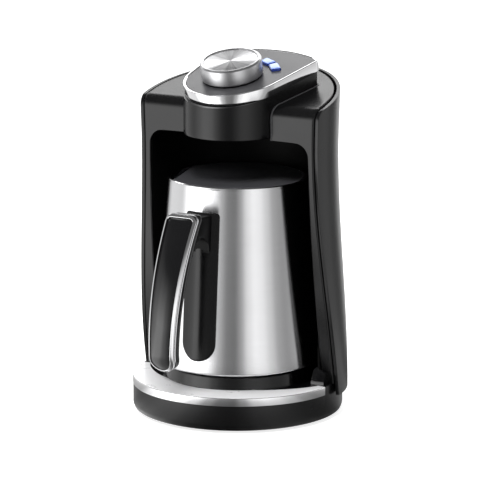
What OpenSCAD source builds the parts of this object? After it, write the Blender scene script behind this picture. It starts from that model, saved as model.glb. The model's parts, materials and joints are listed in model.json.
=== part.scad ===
// Electric Turkish coffee maker: a round base with a heating plate, a deep bay
// for a lift-out pot, and a tilted control head with a turning knob and two keys.
// Origin: centre of the resting plane. +Z up, the front of the machine faces -Y.

/* [Base] */
// Radius of the base bowl
base_r = 73.1; // [70:0.1:74]
// Height of the rubber ring under the base
foot_h = 2; // [1.5:0.5:2]
// Height of the lower edge of the bright trim
trim_low = 19; // [17:0.5:20]
// Height of the flat top of the bright trim
trim_top = 25; // [24.8:0.1:25]
// Radius of the arc that bounds the trim crescent at the back
crescent_r = 76.5; // [75:0.5:80]
// Height at which the pot stands on the heating plate
plate_top = 35.5; // [35:0.5:36]

/* [Body] */
// Radius of the body at its waist and above
waist_r = 70.3; // [70:0.1:71]
// Growth of the radius from the waist down to the base
skirt_growth = 7.3; // [6:0.1:8]
// Growth of the radius from the waist up to the shoulders
brow_growth = 0.8; // [0:0.1:1]
// Height of the waist
waist_z = 190; // [180:1:195]
// Offset of the body axis towards the front
axis_y = -2; // [-2.5:0.5:-1.5]
// Wall of the rear cover and of the front frame
wall = 2.4; // [2:0.1:3]
// Radius of the long arc of the front face, seen from the side
front_arc_r = 1055; // [1000:5:1200]
// Foremost place of the front face
front_y = -14.2; // [-15:0.1:-14]
// Slope of the shoulders, towards the front
shoulder_tilt = 12.4; // [12:0.1:13]
// Radius of the rolled edge between front face and shoulders
roll_r = 9; // [8:0.5:10]

/* [Bay] */
// Height of the top edge of the bay opening
bay_top = 194.5; // [194:0.5:195]
// Half the width of the bay near its ceiling
bay_r = 61.8; // [61.5:0.1:62]
// Half the width of the bay at its floor
bay_low_r = 65.4; // [65:0.1:65.6]

/* [Head] */
// Tilt of the control plate, towards the front
plate_tilt = 15; // [14:0.5:16]
// Radius of the nose of the control plate
nose_r = 34.3; // [34:0.1:35]
// Height of the control plate at the knob
knob_z = 235.3; // [234:0.1:236]
// Place of the knob from the machine axis
knob_y = -7.2; // [-8:0.1:-7]
// Thickness of the bright band around the control plate
band_h = 7.7; // [6:0.1:8]
// Radius of the knob
knob_r = 21.3; // [20:0.1:22]
// Height of the knob above the plate, with the dark gap below it
knob_h = 12.4; // [11.5:0.1:13]

/* [Pot] */
// Outer radius of the pot at its bottom
pot_low_r = 56.7; // [56:0.1:57]
// Outer radius of the pot at its rim
pot_top_r = 47.8; // [47.5:0.1:48.5]
// Height of the rim above the resting plane
rim_z = 165; // [164:0.5:166]
// Thickness of the pot wall
pot_wall = 1.2; // [1:0.1:1.5]
// Foremost place of the handle
handle_front = -107.3; // [-109:0.1:-105]
// Curvature of the handle, seen from the side
handle_bow = 0.0036; // [0.0034:0.0001:0.0038]

/* [Hidden] */
$fn = 96;
eps = 0.01;
gap = 0.7;
body_low = 17;
front_arc_z = 215;
shoulder_z = 220.2;
skirt_span = waist_z - body_low;
frame_inset = wall + gap;
deck_z = trim_top - 1.6;
ceiling_z = bay_top + 1.1;
ceiling_h = 2.4;
board_z = ceiling_z + 6;
bay_corner = 10;
spout_angle = 195;
spout_chord = 38.7;
handle_mid_z = 60;
handle_bend_z = 147.5;
handle_low_z = 47;
handle_high_z = 151;
handle_foot_r = 9.5;
handle_corner = 5;
strip_half = 12.95;
handle_depth = 14;
bridge_z = [120, 147];
handle_screw_z = [135, 143.5];
key_turns = [27.2, 49.7];
key_radius = 29.7;
key_size = [10.3, 6.7];
key_travel = 0.8;
sensor_travel = 1.5;
cover_screw_z = [70, 186];
wire_x = [-12, 12];
wire_low = [68.3, 12];
wire_high = [63.1, 204.6];
cord_z = 12;

// ---------------------------------------------------------------- shared shapes

// Radius of the body at height z: a soft flare below the waist, a slight one above it.
function body_r(z) = waist_r
    + skirt_growth * (1 - cos(180 * min(1, max(0, waist_z - z) / skirt_span))) / 2
    + brow_growth * max(0, z - waist_z) / 30;

// Distance of the pot wall from its axis at height z.
function pot_r(z) = pot_low_r + (pot_top_r - pot_low_r) * (z - plate_top) / (rim_z - plate_top);

// Half the width of the bay at height z.
function bay_half(z) = bay_low_r - (bay_low_r - bay_r) * (z - 24) / (bay_top - 34);

// Front line of the handle, seen from the side.
function handle_y(z) = handle_front
    + handle_bow * pow(max(0, min(z, handle_bend_z) - handle_mid_z), 2)
    + 0.03 * pow(max(0, handle_mid_z - z), 2);

// Half the width of the handle at height z.
function handle_half(z) = handle_foot_r + 0.028 * max(0, z - handle_mid_z);

// A tube between two radii.
module ring(outer, inner, height) {
    difference() {
        cylinder(r = outer, h = height);
        translate([0, 0, -1]) cylinder(r = inner, h = height + 2);
    }
}

// The round body, inset from its skin, between two heights.
module body_solid(inset, low, high) {
    levels = [low, for (z = [low + 12 : 14 : waist_z - 8]) z, waist_z];
    translate([0, axis_y, 0])
        rotate_extrude($fn = 144)
            polygon([[0, low], for (z = levels) [body_r(z) - inset, z],
                [body_r(high) - inset, high], [0, high]]);
}

// Everything behind the bowed front face, moved back by a depth.
module behind_front(depth) {
    translate([-100, front_y + front_arc_r + depth, front_arc_z])
        rotate([0, 90, 0]) cylinder(r = front_arc_r, h = 200, $fn = 360);
}

// Side view of the body: bowed front, rolled brow and sloping shoulders.
module side_profile(depth) {
    y = front_y + roll_r;
    z = shoulder_z + tan(shoulder_tilt) * y - roll_r / cos(shoulder_tilt);
    difference() {
        intersection() {
            translate([front_y + front_arc_r + depth, front_arc_z])
                circle(r = front_arc_r, $fn = 360);
            translate([0, shoulder_z]) rotate(shoulder_tilt)
                translate([-120, -300 - depth]) square([240, 300]);
            translate([-60, 5]) square([200, 245]);
        }
        polygon([[y, z], [y - 40, z], [y - 40, z + 40],
            [y - 40 * sin(shoulder_tilt), z + 40 * cos(shoulder_tilt)]]);
    }
    translate([y, z]) circle(r = roll_r - depth, $fn = 64);
}

// The round body cut to the side view, inset from its skin by a depth.
module body_form(inset, depth, low) {
    intersection() {
        body_solid(inset, low, 245);
        translate([-100, 0, 0]) rotate([90, 0, 90])
            linear_extrude(height = 200) side_profile(depth);
    }
}

// Plan of the head: a round nose, a straight left side and a right side that
// reaches out to its rear corner.
module head_plan(grow) {
    hull() {
        translate([0, knob_y]) circle(r = nose_r - 0.5 + grow);
        translate([-28.6, 27]) circle(r = 4 + grow, $fn = 32);
        translate([41.3, 30.6]) circle(r = 3.6 + grow, $fn = 32);
        for (a = [-24 : 4 : 24])
            translate([8.4 + 74 * sin(a), -38.5 + 74 * cos(a)]) circle(r = grow + 6, $fn = 24);
    }
}

// Outline of the control plate in its own plane, around the knob axis.
module plate_outline(grow) {
    hull() {
        circle(r = nose_r + grow);
        translate([5.5, 2]) circle(r = nose_r - 2.8 + grow);
        translate([-29.5, 34.4]) circle(r = max(0.3, 4.6 + grow), $fn = 32);
        translate([42.3, 36]) circle(r = max(0.3, 4.6 + grow), $fn = 32);
        for (a = [-24 : 4 : 24])
            translate([8.4 + 72 * sin(a), -30.6 + 72 * cos(a)]) circle(r = grow + 8, $fn = 24);
    }
}

// Moves its children into the plane of the control plate.
module on_plate() {
    translate([0, knob_y, knob_z]) rotate([plate_tilt, 0, 0]) children();
}

// Places a child at one of the two keys, on a circle around the knob.
module at_key(index) {
    rotate([0, 0, -key_turns[index]]) translate([0, key_radius, 0]) children();
}

// Outline of a key: a sector of the circle around the knob, with round corners.
module key_outline(grow) {
    reach = key_size[1] / 2 - 1.2;
    hull() for (x = [-1, 1]) for (y = [-reach, reach])
        translate([x * ((key_radius + y) * key_size[0] / 2 / key_radius - 1.2), y])
            circle(r = 1.2 + grow, $fn = 24);
}

// ------------------------------------------------------------------------ base

module foot_ring() {
    color([0.06, 0.06, 0.06]) ring(64, 58, foot_h + 0.6);
}

module bottom_cover() {
    color([0.08, 0.08, 0.08]) difference() {
        translate([0, 0, foot_h]) cylinder(r = 66.7, h = 2.4);
        translate([0, 0, foot_h - 1]) ring(64.1, 57.9, 1.6);
        for (a = [30 : 120 : 270]) rotate([0, 0, a]) translate([50, 0, 0]) {
            cylinder(r = 1.9, h = 8, $fn = 32);
            translate([0, 0, foot_h - 1]) cylinder(r = 3.6, h = 2.2, $fn = 32);
        }
        for (x = [-24 : 12 : 24]) translate([x - 1.5, -14, 0]) cube([3, 28, 8]);
    }
}

module bottom_screws() {
    color([0.6, 0.6, 0.62]) for (a = [30 : 120 : 270]) rotate([0, 0, a]) translate([50, 0, 0]) {
        translate([0, 0, foot_h + 0.1]) cylinder(r = 3.2, h = 1.1, $fn = 32);
        translate([0, 0, foot_h + 1]) cylinder(r = 1.5, h = 12, $fn = 32);
    }
}

// The bowl of the base, with a step at the front that takes the bright trim.
module base_bowl() {
    color([0.05, 0.05, 0.05]) difference() {
        rotate_extrude($fn = 144) difference() {
            union() {
                translate([base_r - 4, 4.8]) circle(r = 4);
                translate([66.9, 0.8]) square([base_r - 70.9, 6]);
                translate([66.9, 4.8]) square([base_r - 66.9, trim_top - 4.8]);
            }
            polygon([[60, 3.6], [66.9, 3.6], [70.6, 7.4], [70.6, 30], [60, 30]]);
            translate([60, 0]) square([6.9, 30]);
        }
        translate([-80, -80, trim_low - 0.05]) difference() {
            cube([160, 73, 10]);
            translate([80, 80, -1]) cylinder(r = 71.2, h = 12, $fn = 144);
        }
        translate([-80, -80, deck_z]) cube([160, 73, 10]);
        translate([0, axis_y, body_low - 0.2]) ring(90, body_r(trim_top) - wall - 0.3, 20);
        translate([0, 0, cord_z]) rotate([-90, 0, 0]) cylinder(r = 4.1, h = 90, $fn = 48);
    }
}

// Bright crescent around the front of the base, with its outer band.
module base_trim() {
    color([0.85, 0.85, 0.87]) difference() {
        translate([0, 0, trim_low]) cylinder(r = base_r + 0.2, h = trim_top - trim_low, $fn = 144);
        translate([0, 0, trim_low - 1]) cylinder(r = 71.3, h = deck_z - trim_low + 1.02, $fn = 144);
        translate([0, crescent_r - 46.5, trim_low - 1]) cylinder(r = crescent_r, h = 12, $fn = 144);
        translate([0, 0, trim_low - 1]) cylinder(r = 51.3, h = 12, $fn = 144);
        translate([-80, -7.1, trim_low - 1]) cube([160, 90, 12]);
    }
}

// Sloping toes of the deck, in front of the feet of the two legs.
module deck_toes() {
    intersection() {
        for (side = [0, 1]) mirror([side, 0, 0]) rotate([90, 0, 0]) linear_extrude(height = 10, center = true)
            polygon([[60.4, deck_z - 1], [60.4, 34.3], [62.4, 36.3], [72, 31.2], [72, deck_z - 1]]);
        rotate([90, 0, 90]) linear_extrude(height = 160, center = true)
            polygon([[-4.6, deck_z - 1], [-4.6, 27], [0.8, 37], [3, deck_z - 1]]);
        cylinder(r = 70.4, h = 60);
    }
}

// Black deck inside the bowl, with the raised ring that holds the heating plate.
module base_deck() {
    color([0.04, 0.04, 0.04]) difference() {
        union() {
            translate([0, 0, deck_z - 2]) cylinder(r = 70.4, h = 2);
            translate([0, 0, deck_z - 0.1]) cylinder(r1 = 51, r2 = 49.5, h = plate_top - deck_z - 2.4);
            for (a = [30 : 120 : 270]) rotate([0, 0, a]) translate([50, 0, 4.5])
                cylinder(r = 4, h = deck_z - 5, $fn = 32);
            deck_toes();
        }
        translate([0, 0, deck_z - 3]) cylinder(r = 44, h = 14);
        translate([0, 0, plate_top - 5]) cylinder(r = 46.7, h = 10);
        for (a = [30 : 120 : 270]) rotate([0, 0, a]) translate([50, 0, 4])
            cylinder(r = 1.55, h = 12, $fn = 32);
        for (x = wire_x) translate([x, 68.4, deck_z - 3]) cylinder(r = 1.6, h = 6, $fn = 24);
    }
}

module heating_plate() {
    color([0.2, 0.2, 0.21]) difference() {
        union() {
            translate([0, 0, plate_top - 3]) cylinder(r = 43, h = 3);
            translate([0, 0, plate_top - 4.9]) cylinder(r = 46.5, h = 3.4);
        }
        translate([0, 0, plate_top - 8]) cylinder(r = 7.4, h = 12, $fn = 48);
        translate([0, 0, plate_top - 8]) cylinder(r = 41, h = 5);
    }
}

// Tubular heating element, an open ring with two cold ends that point down.
module heater_coil() {
    color([0.35, 0.33, 0.32]) translate([0, 0, plate_top - 6.2]) {
        rotate([0, 0, 110]) rotate_extrude(angle = 320) translate([30, 0]) circle(r = 3.1, $fn = 32);
        for (a = [110, 70]) rotate([0, 0, a]) translate([30, 0, -9]) cylinder(r = 2, h = 8, $fn = 32);
    }
}

module heat_shield() {
    color([0.7, 0.7, 0.7]) difference() {
        translate([0, 0, deck_z - 2]) cylinder(r = 43.8, h = 6.5);
        translate([0, 0, deck_z - 1.2]) cylinder(r = 43, h = 8);
        translate([0, 0, 0]) cylinder(r = 6.3, h = 40, $fn = 48);
        for (a = [110, 70]) rotate([0, 0, a]) translate([30, 0, 0]) cylinder(r = 2.6, h = 40, $fn = 32);
    }
}

module sensor_holder() {
    color([0.75, 0.72, 0.65]) difference() {
        union() {
            translate([0, 0, 17]) cylinder(r = 6, h = 8.6, $fn = 48);
            translate([0, 0, deck_z - 4.1]) cylinder(r = 9, h = 2, $fn = 48);
        }
        translate([0, 0, 10]) cylinder(r = 2.55, h = 30, $fn = 48);
    }
}

module sensor_spring() {
    turns = 4;
    color([0.7, 0.7, 0.72]) translate([0, 0, 25.7])
        linear_extrude(height = 7.5, twist = -360 * turns, slices = 18 * turns, $fn = 16)
            polygon([for (a = [0 : 20 : 140]) [4.8 * cos(a), 4.8 * sin(a)],
                for (a = [140 : -20 : 0]) [3.9 * cos(a), 3.9 * sin(a)]]);
}

// Spring-loaded plunger that feels the temperature of the pot.
module sensor_cap() {
    color([0.8, 0.8, 0.82]) {
        translate([0, 0, plate_top - 2]) cylinder(r = 7.1, h = 1.95, $fn = 48);
        translate([0, 0, 18.5]) cylinder(r = 2.5, h = plate_top - 20, $fn = 48);
    }
}

module thermal_fuse() {
    color([0.8, 0.75, 0.6]) translate([-9, -22, plate_top - 8.2]) rotate([0, 90, 0])
        cylinder(r = 2.4, h = 18, $fn = 32);
}

module cord_gland() {
    color([0.07, 0.07, 0.07]) translate([0, 0, cord_z]) rotate([-90, 0, 0]) difference() {
        union() {
            translate([0, 0, 66.5]) cylinder(r = 4, h = 9, $fn = 48);
            translate([0, 0, base_r + 0.1]) cylinder(r = 4.8, h = 2.3, $fn = 48);
            translate([0, 0, 66.5]) cylinder(r = 5, h = 2, $fn = 48);
        }
        translate([0, 0, 60]) cylinder(r = 2.6, h = 25, $fn = 48);
    }
}

module terminal_block() {
    color([0.85, 0.85, 0.8]) difference() {
        translate([-15, 50, foot_h + 2.5]) cube([30, 12, 10]);
        for (x = [-9, 0, 9]) translate([x, 56, foot_h + 6]) cylinder(r = 2, h = 10, $fn = 32);
    }
}

// ------------------------------------------------------------------------ body

// Outline of the bay, seen from the front.
module bay_section(grow) {
    hull() for (side = [-1, 1]) {
        translate([side * (bay_r - bay_corner), bay_top - bay_corner])
            circle(r = bay_corner + grow, $fn = 48);
        translate([side * (bay_low_r + grow - 1), 22]) square([2, 1], center = true);
    }
}

// Space of the bay: straight at the front, half round behind.
module bay_space(grow) {
    rotate([90, 0, 0]) linear_extrude(height = 40) bay_section(grow);
    rotate_extrude(angle = 180, $fn = 144) intersection() {
        bay_section(grow);
        square([100, 250]);
    }
}

// Front frame: two legs, the rolled brow and the sloping shoulders behind it.
module front_frame() {
    color([0.07, 0.07, 0.07]) difference() {
        body_form(frame_inset, 0, deck_z + 0.05);
        body_form(frame_inset + wall, wall, deck_z - 5);
        translate([-90, 10, 0]) cube([180, 90, 206]);
        translate([0, 0, 18]) ring(90, 70.45, trim_top + 0.05 - 18);
        translate([0, 20, 0]) rotate([90, 0, 0]) linear_extrude(height = 60) bay_section(0);
        translate([0, 0, bay_top - 1.5]) linear_extrude(height = 60) head_plan(0.3);
    }
}

// Wall of the bay: a half round behind the pot with straight cheeks.
module bay_liner() {
    color([0.03, 0.03, 0.03]) difference() {
        intersection() {
            bay_space(2);
            translate([-90, -90, deck_z + 0.05]) cube([180, 180, ceiling_z - deck_z - 0.1]);
            behind_front(wall + 0.1);
        }
        bay_space(0);
        translate([0, 0, bay_top - 3]) cylinder(r = 50, h = 20);
        translate([-50, -40, bay_top - 3]) cube([100, 40, 20]);
        for (z = cover_screw_z) translate([0, 0, z]) rotate([-90, 0, 0])
            cylinder(r = 1.6, h = 100, $fn = 32);
    }
}

// Ceiling of the bay, which runs forward as the underside of the nose.
module bay_ceiling() {
    color([0.05, 0.05, 0.05]) difference() {
        union() {
            intersection() {
                translate([0, axis_y, ceiling_z])
                    cylinder(r = waist_r - frame_inset - wall - 0.4, h = ceiling_h);
                behind_front(wall + 0.1);
            }
            translate([0, knob_y, ceiling_z]) cylinder(r = nose_r - 0.5, h = ceiling_h);
        }
        translate([0, -20, ceiling_z - 5]) cylinder(r = 5, h = 20, $fn = 48);
    }
}

// Window of the sensor that sees the foam rise in the pot.
module foam_sensor() {
    color([0.15, 0.05, 0.08]) translate([0, -20, ceiling_z - 0.6]) {
        cylinder(r = 4.9, h = 3.2, $fn = 48);
        translate([0, 0, 3.05]) cylinder(r = 6.5, h = 5, $fn = 48);
    }
}

// Outer shell: sides and back, open towards the front frame.
module rear_cover() {
    color([0.06, 0.06, 0.06]) difference() {
        body_form(0, 0.7, body_low);
        body_solid(wall, body_low - 3, 260);
        for (z = cover_screw_z) translate([0, 0, z]) rotate([-90, 0, 0])
            cylinder(r = 1.7, h = 100, $fn = 32);
    }
}

module cover_screws() {
    color([0.15, 0.15, 0.15]) for (z = cover_screw_z)
        translate([0, axis_y + body_r(z), z]) rotate([90, 0, 0]) {
            translate([0, 0, -2.1]) cylinder(r = 3.2, h = 1.8, $fn = 32);
            translate([0, 0, -1])
                cylinder(r = 1.4, h = axis_y + body_r(z) - bay_half(z) + 0.4, $fn = 32);
        }
}

// ------------------------------------------------------------------------ head

// Upright wall of the head, cut to the tilt of the control plate.
module head_housing() {
    color([0.05, 0.05, 0.05]) difference() {
        translate([0, 0, ceiling_z + ceiling_h + 0.05]) linear_extrude(height = 60) head_plan(0);
        translate([0, 0, bay_top]) linear_extrude(height = 70) head_plan(-wall);
        on_plate() translate([-80, -80, -band_h - 0.05]) cube([160, 160, 60]);
        for (x = wire_x) translate([x, 20, wire_high[1]]) rotate([-90, 0, 0])
            cylinder(r = 1.6, h = 40, $fn = 24);
    }
}

module plate_trim() {
    color([0.85, 0.85, 0.87]) on_plate() difference() {
        translate([0, 0, -band_h]) linear_extrude(height = band_h) plate_outline(0);
        translate([0, 0, -band_h + 1]) linear_extrude(height = band_h) plate_outline(-2.2);
        translate([0, 0, -band_h - 1]) linear_extrude(height = band_h) plate_outline(-6);
    }
}

module control_plate() {
    color([0.28, 0.28, 0.3]) on_plate() difference() {
        translate([0, 0, -2.6]) linear_extrude(height = 2.2) plate_outline(-2.3);
        translate([0, 0, -5]) cylinder(r = 4.6, h = 10, $fn = 48);
        for (i = [0, 1]) at_key(i) translate([0, 0, -5])
            linear_extrude(height = 10) key_outline(0.3);
    }
}

module knob_collar() {
    color([0.03, 0.03, 0.03]) on_plate() translate([0, 0, -0.35]) ring(18.4, 5, 0.65);
}

module encoder() {
    color([0.2, 0.25, 0.3]) on_plate() difference() {
        union() {
            translate([-7, -7, -13.3]) cube([14, 14, 9.5]);
            translate([0, 0, -4]) cylinder(r = 4.4, h = 4.3, $fn = 48);
        }
        translate([0, 0, -12]) cylinder(r = 3.05, h = 20, $fn = 48);
    }
}

module knob_shaft() {
    color([0.7, 0.7, 0.72]) on_plate() translate([0, 0, -11.5]) cylinder(r = 3, h = 21, $fn = 48);
}

// Turned knob with a polished bevel around a recessed disc.
module knob_body() {
    color([0.75, 0.75, 0.77]) on_plate() rotate_extrude($fn = 144)
        polygon([[3.02, 0.45], [knob_r - 0.5, 0.45], [knob_r, 0.95], [knob_r, knob_h - 1.2],
            [knob_r - 1, knob_h], [knob_r - 2.1, knob_h], [knob_r - 2.7, knob_h - 0.8],
            [knob_r - 2.7, knob_h - 1.7], [3.02, knob_h - 1.7]]);
}

module knob_disc() {
    color([0.8, 0.8, 0.82]) on_plate() translate([0, 0, knob_h - 1.65])
        rotate_extrude($fn = 144)
            polygon([[0, 0], [knob_r - 2.8, 0], [knob_r - 2.8, 1.1], [0, 0.8]]);
}

module key_cap(index) {
    on_plate() at_key(index) {
        translate([0, 0, -3.2]) linear_extrude(height = 4.7) key_outline(0);
        translate([0, 0, -4.4]) linear_extrude(height = 1.3) key_outline(0.4);
        translate([0, 0, -8.4]) cylinder(r = 1.5, h = 4.2, $fn = 32);
    }
}

module small_cup_key() {
    color([0.3, 0.55, 0.95]) key_cap(0);
}

module large_cup_key() {
    color([0.3, 0.55, 0.95]) key_cap(1);
}

module key_switches() {
    color([0.1, 0.1, 0.1]) on_plate() for (i = [0, 1]) at_key(i) {
        translate([-3, -3, -13.35]) cube([6, 6, 3.4]);
        translate([0, 0, -10]) cylinder(r = 1.7, h = 0.75, $fn = 32);
    }
}

module indicator_leds() {
    color([0.4, 0.6, 1]) on_plate() for (i = [0, 1]) at_key(i)
        for (side = [-1, 1]) translate([side * 4.6 - 0.8, -0.6, -13.35]) cube([1.6, 1.2, 1.2]);
}

module control_board() {
    color([0.05, 0.3, 0.15]) on_plate() translate([-25, -13, -15]) cube([52, 46, 1.6]);
}

module buzzer() {
    color([0.1, 0.1, 0.1]) on_plate() translate([-16, 22, -13.35]) cylinder(r = 5, h = 5, $fn = 48);
}

module power_board() {
    color([0.1, 0.35, 0.15]) translate([-26, -8, board_z]) cube([54, 34, 1.6]);
}

module relay() {
    color([0.1, 0.25, 0.6]) translate([6, 2, board_z + 1.65]) cube([19, 15, 12]);
}

module power_capacitor() {
    color([0.1, 0.1, 0.12]) translate([-16, 14, board_z + 1.65]) cylinder(r = 7, h = 11, $fn = 48);
}

module board_posts() {
    color([0.7, 0.7, 0.7]) for (x = [-22, 24]) for (y = [-4, 22])
        translate([x, y, ceiling_z + ceiling_h + 0.05])
            cylinder(r = 3, h = board_z - ceiling_z - ceiling_h - 0.1, $fn = 32);
}

// Leads that run down behind the bay, from the head to the terminals in the base.
module wire_harness() {
    run = wire_high - wire_low;
    color([0.5, 0.1, 0.1]) for (x = wire_x) {
        translate([x, wire_low[0], wire_low[1]]) rotate([atan(-run[0] / run[1]), 0, 0])
            cylinder(r = 0.9, h = norm(run), $fn = 24);
        translate([x, wire_high[0], wire_high[1]]) sphere(r = 0.96, $fn = 24);
        translate([x, wire_low[0], wire_low[1]]) sphere(r = 0.96, $fn = 24);
        translate([x, 22, wire_high[1]]) rotate([-90, 0, 0])
            cylinder(r = 0.9, h = wire_high[0] - 22, $fn = 24);
        translate([x, 62.05, wire_low[1]]) rotate([-90, 0, 0])
            cylinder(r = 0.9, h = wire_low[0] - 62.05, $fn = 24);
    }
}

// ------------------------------------------------------------------------- pot

// The pot: a steel cone with a rounded foot, a rolled rim and a pouring notch.
module pot_body() {
    wall_x = pot_r(plate_top + 4);
    color([0.75, 0.75, 0.76]) difference() {
        rotate_extrude($fn = 144) polygon([
            [0, plate_top + 1.5], [pot_low_r - 4.6, plate_top + 1.5],
            [pot_low_r - 4.6, plate_top + 0.05], [pot_low_r - 1.2, plate_top + 0.05],
            [pot_low_r - 0.3, plate_top + 0.5],
            [pot_low_r, plate_top + 1.6], [pot_top_r + 0.1, rim_z - 1.6],
            [pot_top_r + 0.3, rim_z - 0.9], [pot_top_r, rim_z], [pot_top_r - 1, rim_z],
            [pot_top_r - pot_wall, rim_z - 1], [wall_x - pot_wall, plate_top + 4],
            [wall_x - 3, plate_top + 2.7], [0, plate_top + 2.7]]);
        rotate([0, 0, spout_angle - 8]) translate([pot_top_r - 6, -9, rim_z - 3.6])
            cube([12, 18, 8]);
    }
}

module pot_base() {
    color([0.6, 0.6, 0.6]) translate([0, 0, plate_top + 0.05]) cylinder(r = pot_low_r - 4.65, h = 1.4);
}

// A cone that follows the pot wall at a distance.
module pot_cone(distance) {
    translate([0, 0, plate_top - 5])
        cylinder(r1 = pot_r(plate_top - 5) + distance, r2 = pot_r(rim_z + 5) + distance,
            h = rim_z - plate_top + 10, $fn = 144);
}

// Black strip between the pot and its handle.
module handle_strip() {
    color([0.05, 0.05, 0.05]) difference() {
        intersection() {
            pot_cone(2.2);
            rotate([90, 0, 0]) linear_extrude(height = 80) union() {
                translate([0, 57.7]) circle(r = strip_half, $fn = 64);
                translate([-strip_half, 57.7]) square([2 * strip_half, 87.3]);
                hull() for (side = [-1, 1])
                    translate([side * (strip_half - 2.5), 145]) circle(r = 2.5, $fn = 32);
            }
        }
        pot_cone(0.15);
    }
}

// Cuts the two holes of the handle screws.
module handle_holes() {
    for (z = handle_screw_z) translate([0, -50, z]) rotate([90, 0, 0])
        cylinder(r = 1.55, h = 60, $fn = 32);
}

// Block that carries the handle on the strip, with an arched underside.
module handle_bridge() {
    rows = [for (z = [bridge_z[1] : -4 : bridge_z[0]]) z];
    color([0.05, 0.05, 0.05]) difference() {
        translate([-8.5, 0, 0]) rotate([90, 0, 90]) linear_extrude(height = 17)
            polygon([[-45, bridge_z[1]],
                for (z = rows) [handle_y(z) + handle_depth + 0.05, z], [-45, bridge_z[0]]]);
        pot_cone(2.25);
        translate([-20, -65.5, bridge_z[0]]) rotate([0, 90, 0]) cylinder(r = 12.5, h = 40);
        handle_holes();
    }
}

// Side view of a layer of the handle, between two depths behind its front line.
module handle_layer(near, far) {
    rows = [for (z = [handle_low_z - 3 : 5.5 : handle_high_z + 3]) z];
    count = len(rows);
    translate([-20, 0, 0]) rotate([90, 0, 90]) linear_extrude(height = 40)
        polygon([for (z = rows) [handle_y(z) + near, z],
            for (i = [1 : count]) [handle_y(rows[count - i]) + far, rows[count - i]]]);
}

// Front view of the handle: wide at the top, narrower and round at the foot.
module handle_outline(inset) {
    corner_z = handle_high_z - handle_corner;
    corner_x = handle_half(corner_z) - handle_corner;
    rows = [for (z = [handle_low_z + handle_foot_r : 7.5 : corner_z]) z];
    count = len(rows);
    rotate([90, 0, 0]) linear_extrude(height = 140) {
        polygon([for (z = rows) [handle_half(z) - inset, z],
            for (i = [1 : count]) [inset - handle_half(rows[count - i]), rows[count - i]]]);
        translate([0, handle_low_z + handle_foot_r]) circle(r = handle_foot_r - inset, $fn = 48);
        hull() for (side = [-1, 1]) {
            translate([side * corner_x, corner_z]) circle(r = handle_corner - inset, $fn = 32);
            translate([side * (handle_half(rows[count - 1]) - inset - 1), rows[count - 1] - 0.5])
                square([2, 1], center = true);
        }
    }
}

module handle_trim() {
    color([0.85, 0.85, 0.87]) difference() {
        intersection() {
            handle_layer(0, 6.2);
            handle_outline(0);
        }
        handle_outline(1.3);
    }
}

module handle_grip() {
    color([0.03, 0.03, 0.03]) intersection() {
        handle_layer(0.3, 6.2);
        handle_outline(1.35);
    }
}

module handle_core() {
    color([0.05, 0.05, 0.05]) difference() {
        intersection() {
            handle_layer(6.25, handle_depth);
            handle_outline(0.6);
        }
        handle_holes();
    }
}

module handle_screws() {
    color([0.7, 0.7, 0.72]) for (z = handle_screw_z)
        translate([0, handle_y(z) + 26, z]) rotate([90, 0, 0])
            cylinder(r = 1.5, h = 17.5, $fn = 32);
}

// Removes the pouring side of the lid.
module spout_cut() {
    rotate([0, 0, spout_angle]) translate([spout_chord, -60, 140]) cube([40, 120, 40]);
}

module lid() {
    color([0.08, 0.08, 0.09]) difference() {
        union() {
            translate([0, 0, rim_z - 2]) cylinder(r = pot_top_r - 1.5, h = 2.2);
            translate([0, 0, rim_z - 8.5]) ring(45.4, 43.4, 6.6);
        }
        spout_cut();
    }
}

module lid_seal() {
    color([0.3, 0.3, 0.3]) difference() {
        translate([0, 0, rim_z - 6.5]) ring(46.45, 45.45, 2.4);
        spout_cut();
    }
}

foot_ring();
bottom_cover();
bottom_screws();
base_bowl();
base_trim();
base_deck();
heating_plate();
heater_coil();
heat_shield();
sensor_holder();
sensor_spring();
sensor_cap();
thermal_fuse();
cord_gland();
terminal_block();
front_frame();
bay_liner();
bay_ceiling();
foam_sensor();
rear_cover();
cover_screws();
head_housing();
plate_trim();
control_plate();
knob_collar();
encoder();
knob_shaft();
knob_body();
knob_disc();
small_cup_key();
large_cup_key();
key_switches();
indicator_leds();
control_board();
buzzer();
power_board();
relay();
power_capacitor();
board_posts();
wire_harness();
pot_body();
pot_base();
handle_strip();
handle_bridge();
handle_core();
handle_trim();
handle_grip();
handle_screws();
lid();
lid_seal();
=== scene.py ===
import json
import math

import bmesh
import bpy
from mathutils import Matrix, Vector


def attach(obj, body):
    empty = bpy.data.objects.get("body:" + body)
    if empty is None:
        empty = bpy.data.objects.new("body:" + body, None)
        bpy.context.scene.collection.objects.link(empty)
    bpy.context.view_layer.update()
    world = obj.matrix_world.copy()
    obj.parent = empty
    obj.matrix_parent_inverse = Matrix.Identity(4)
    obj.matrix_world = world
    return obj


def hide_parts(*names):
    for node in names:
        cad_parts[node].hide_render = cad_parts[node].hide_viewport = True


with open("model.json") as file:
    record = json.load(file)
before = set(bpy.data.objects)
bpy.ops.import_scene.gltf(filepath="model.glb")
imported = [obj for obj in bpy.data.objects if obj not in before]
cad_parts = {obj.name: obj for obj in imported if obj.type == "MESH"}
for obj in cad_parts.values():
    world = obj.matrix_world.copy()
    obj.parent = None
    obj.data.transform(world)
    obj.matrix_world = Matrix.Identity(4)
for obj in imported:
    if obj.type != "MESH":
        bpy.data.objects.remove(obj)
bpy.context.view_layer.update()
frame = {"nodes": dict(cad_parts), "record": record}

# ------------------------------ sizes in mm, as in the CAD

# Base: outer radius, band of the trim and its back, deck, top of the plate.
BASE_R, TRIM_LOW, TRIM_TOP, TRIM_BACK_R = 73.1, 19.0, 25.0, 71.3
DECK_R, DECK_Z, PLATE_TOP = 70.4, 23.4, 35.5
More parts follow.
